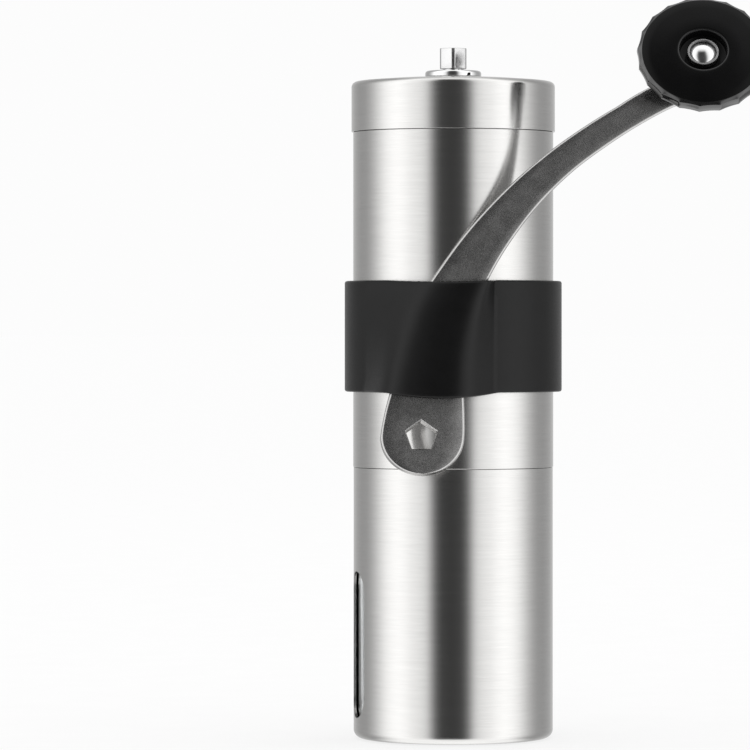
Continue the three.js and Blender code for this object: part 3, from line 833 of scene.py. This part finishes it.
# ---------------------------------------------------------------- pieces shown as the CAD has them
CARRIED = {
    "burr_housing": GREY_PLASTIC,
    "outer_burr": CERAMIC,
    "burr_retaining_ring": GREY_PLASTIC,
    "lower_bush": BRONZE,
    "upper_bracket": INNER_STEEL,
    "upper_bush": BRONZE,
    "spring_washer": INNER_STEEL,
    "inner_burr": CERAMIC,
    "burr_carrier": GREY_PLASTIC,
    "stop_washer": INNER_STEEL,
    "adjusting_nut": GREY_PLASTIC,
    "lid_liner": GREY_PLASTIC,
}
for node, material in CARRIED.items():
    dress(frame["nodes"][node], material, 35)

# ---------------------------------------------------------------- floor, light and camera
# sizes from here on are in metres
FLOOR_HALF, FLOOR_DROP = 400.0, 0.0002
floor_corners = [(x * FLOOR_HALF, y * FLOOR_HALF, 0) for x, y in ((-1, -1), (1, -1), (1, 1), (-1, 1))]
floor_mesh = bpy.data.meshes.new("floor")
floor_mesh.from_pydata(floor_corners, [], [[0, 1, 2, 3]])
floor = bpy.data.objects.new("floor", floor_mesh)
bpy.context.scene.collection.objects.link(floor)
floor.location.z = -FLOOR_DROP
material, g, shader = new_material("pale_floor")
paper = g.noise(g.stretched(EVEN), 60.0, 3.0, 0.6)
g.link(tint(g, paper, (0.285, 0.285, 0.285), (0.295, 0.295, 0.295)), shader.inputs["Base Color"])
shader.inputs["Roughness"].default_value = 1.0
shader.inputs["Specular IOR Level"].default_value = 0.0
shader.inputs["Emission Color"].default_value = (1.0, 1.0, 1.0, 1.0)
shader.inputs["Emission Strength"].default_value = 0.68
floor_mesh.materials.append(material)
floor.visible_glossy = False

# the walls of the studio: [share of a half turn from the front, brightness], the same on both sides
PANELS = [
    (0.0, 0.055), (0.06, 0.07), (0.085, 0.125), (0.105, 0.24), (0.125, 0.48), (0.15, 0.86), (0.175, 1.08),
    (0.205, 1.2), (0.26, 1.34), (0.305, 1.5), (0.355, 1.6), (0.41, 1.53), (0.46, 1.34), (0.505, 1.07),
    (0.55, 0.8), (0.6, 0.58), (0.65, 0.46), (0.72, 0.43), (0.8, 0.48), (1.0, 0.7),
]
PANEL_TURN = math.radians(2.4)
PANEL_SCALE = 2.0
CEILING_FROM, CEILING_FULL, GROUND_FULL, GROUND_FROM = 0.88, 0.98, -0.85, -0.55
CEILING_LIGHT, GROUND_LIGHT, DIFFUSE_LIGHT, BACKDROP_SHADE = 1.15, 1.45, 1.02, 0.975
world = bpy.data.worlds.new("studio")
bpy.context.scene.world = world
world.use_nodes = True
g = Graph(world.node_tree)
world.node_tree.nodes.clear()
place = g.add("ShaderNodeTexCoord")
split = g.add("ShaderNodeSeparateXYZ")
g.link(place.outputs["Generated"], split.inputs[0])
x, y, z = split.outputs
sweep = g.math("ABSOLUTE", g.math("ADD", g.math("ARCTAN2", x, g.math("MULTIPLY", y, -1.0)), PANEL_TURN))
half_turn = g.math("DIVIDE", sweep, math.pi)
# the levels are halved for the ramp, which stops at 1, and doubled after it
painted = g.ramp(half_turn, [(p, v / PANEL_SCALE) for p, v in PANELS])
walls = g.math("MULTIPLY", painted, PANEL_SCALE)
above = g.map_range(z, CEILING_FROM, CEILING_FULL, 0.0, 1.0, smooth=True)
below = g.map_range(z, GROUND_FULL, GROUND_FROM, 1.0, 0.0, smooth=True)


def mix(factor, a, b):
    """The value a where factor is 0, b where it is 1."""
    rest = g.math("MULTIPLY", a, g.math("SUBTRACT", 1.0, factor))
    return g.math("ADD", rest, g.math("MULTIPLY", factor, b))


light = mix(below, mix(above, walls, CEILING_LIGHT), GROUND_LIGHT)
rays = g.add("ShaderNodeLightPath")
light = mix(rays.outputs["Is Diffuse Ray"], light, DIFFUSE_LIGHT)
shown = mix(rays.outputs["Is Camera Ray"], light, BACKDROP_SHADE)
background = g.add("ShaderNodeBackground")
g.link(shown, background.inputs["Color"])
output = g.add("ShaderNodeOutputWorld")
g.link(background.outputs[0], output.inputs["Surface"])


def panel(name, place, target, size, power):
    """A rectangular lamp at place that faces target."""
    data = bpy.data.lights.new(name, "AREA")
    data.shape = "RECTANGLE"
    data.size, data.size_y = size
    data.energy = power
    lamp = bpy.data.objects.new(name, data)
    bpy.context.scene.collection.objects.link(lamp)
    lamp.location = place
    lamp.rotation_euler = (Vector(target) - Vector(place)).to_track_quat("-Z", "Y").to_euler()


panel("overhead_panel", (0.1, 0.35, 1.5), (0, 0, 0), (1.4, 1.4), 1.0)

camera_data = bpy.data.cameras.new("camera")
camera = bpy.data.objects.new("camera", camera_data)
bpy.context.scene.collection.objects.link(camera)
camera.location = (0.0, -1.146, 0.0947)
camera.rotation_euler = (math.pi / 2, 0, 0)
camera_data.sensor_width = 36.0
camera_data.lens = 233.52
camera_data.shift_x = -0.1043
camera_data.shift_y = -0.0533
camera_data.clip_start = 0.01
camera_data.clip_end = 2000.0
bpy.context.scene.camera = camera
bpy.context.scene.view_settings.view_transform = "Standard"
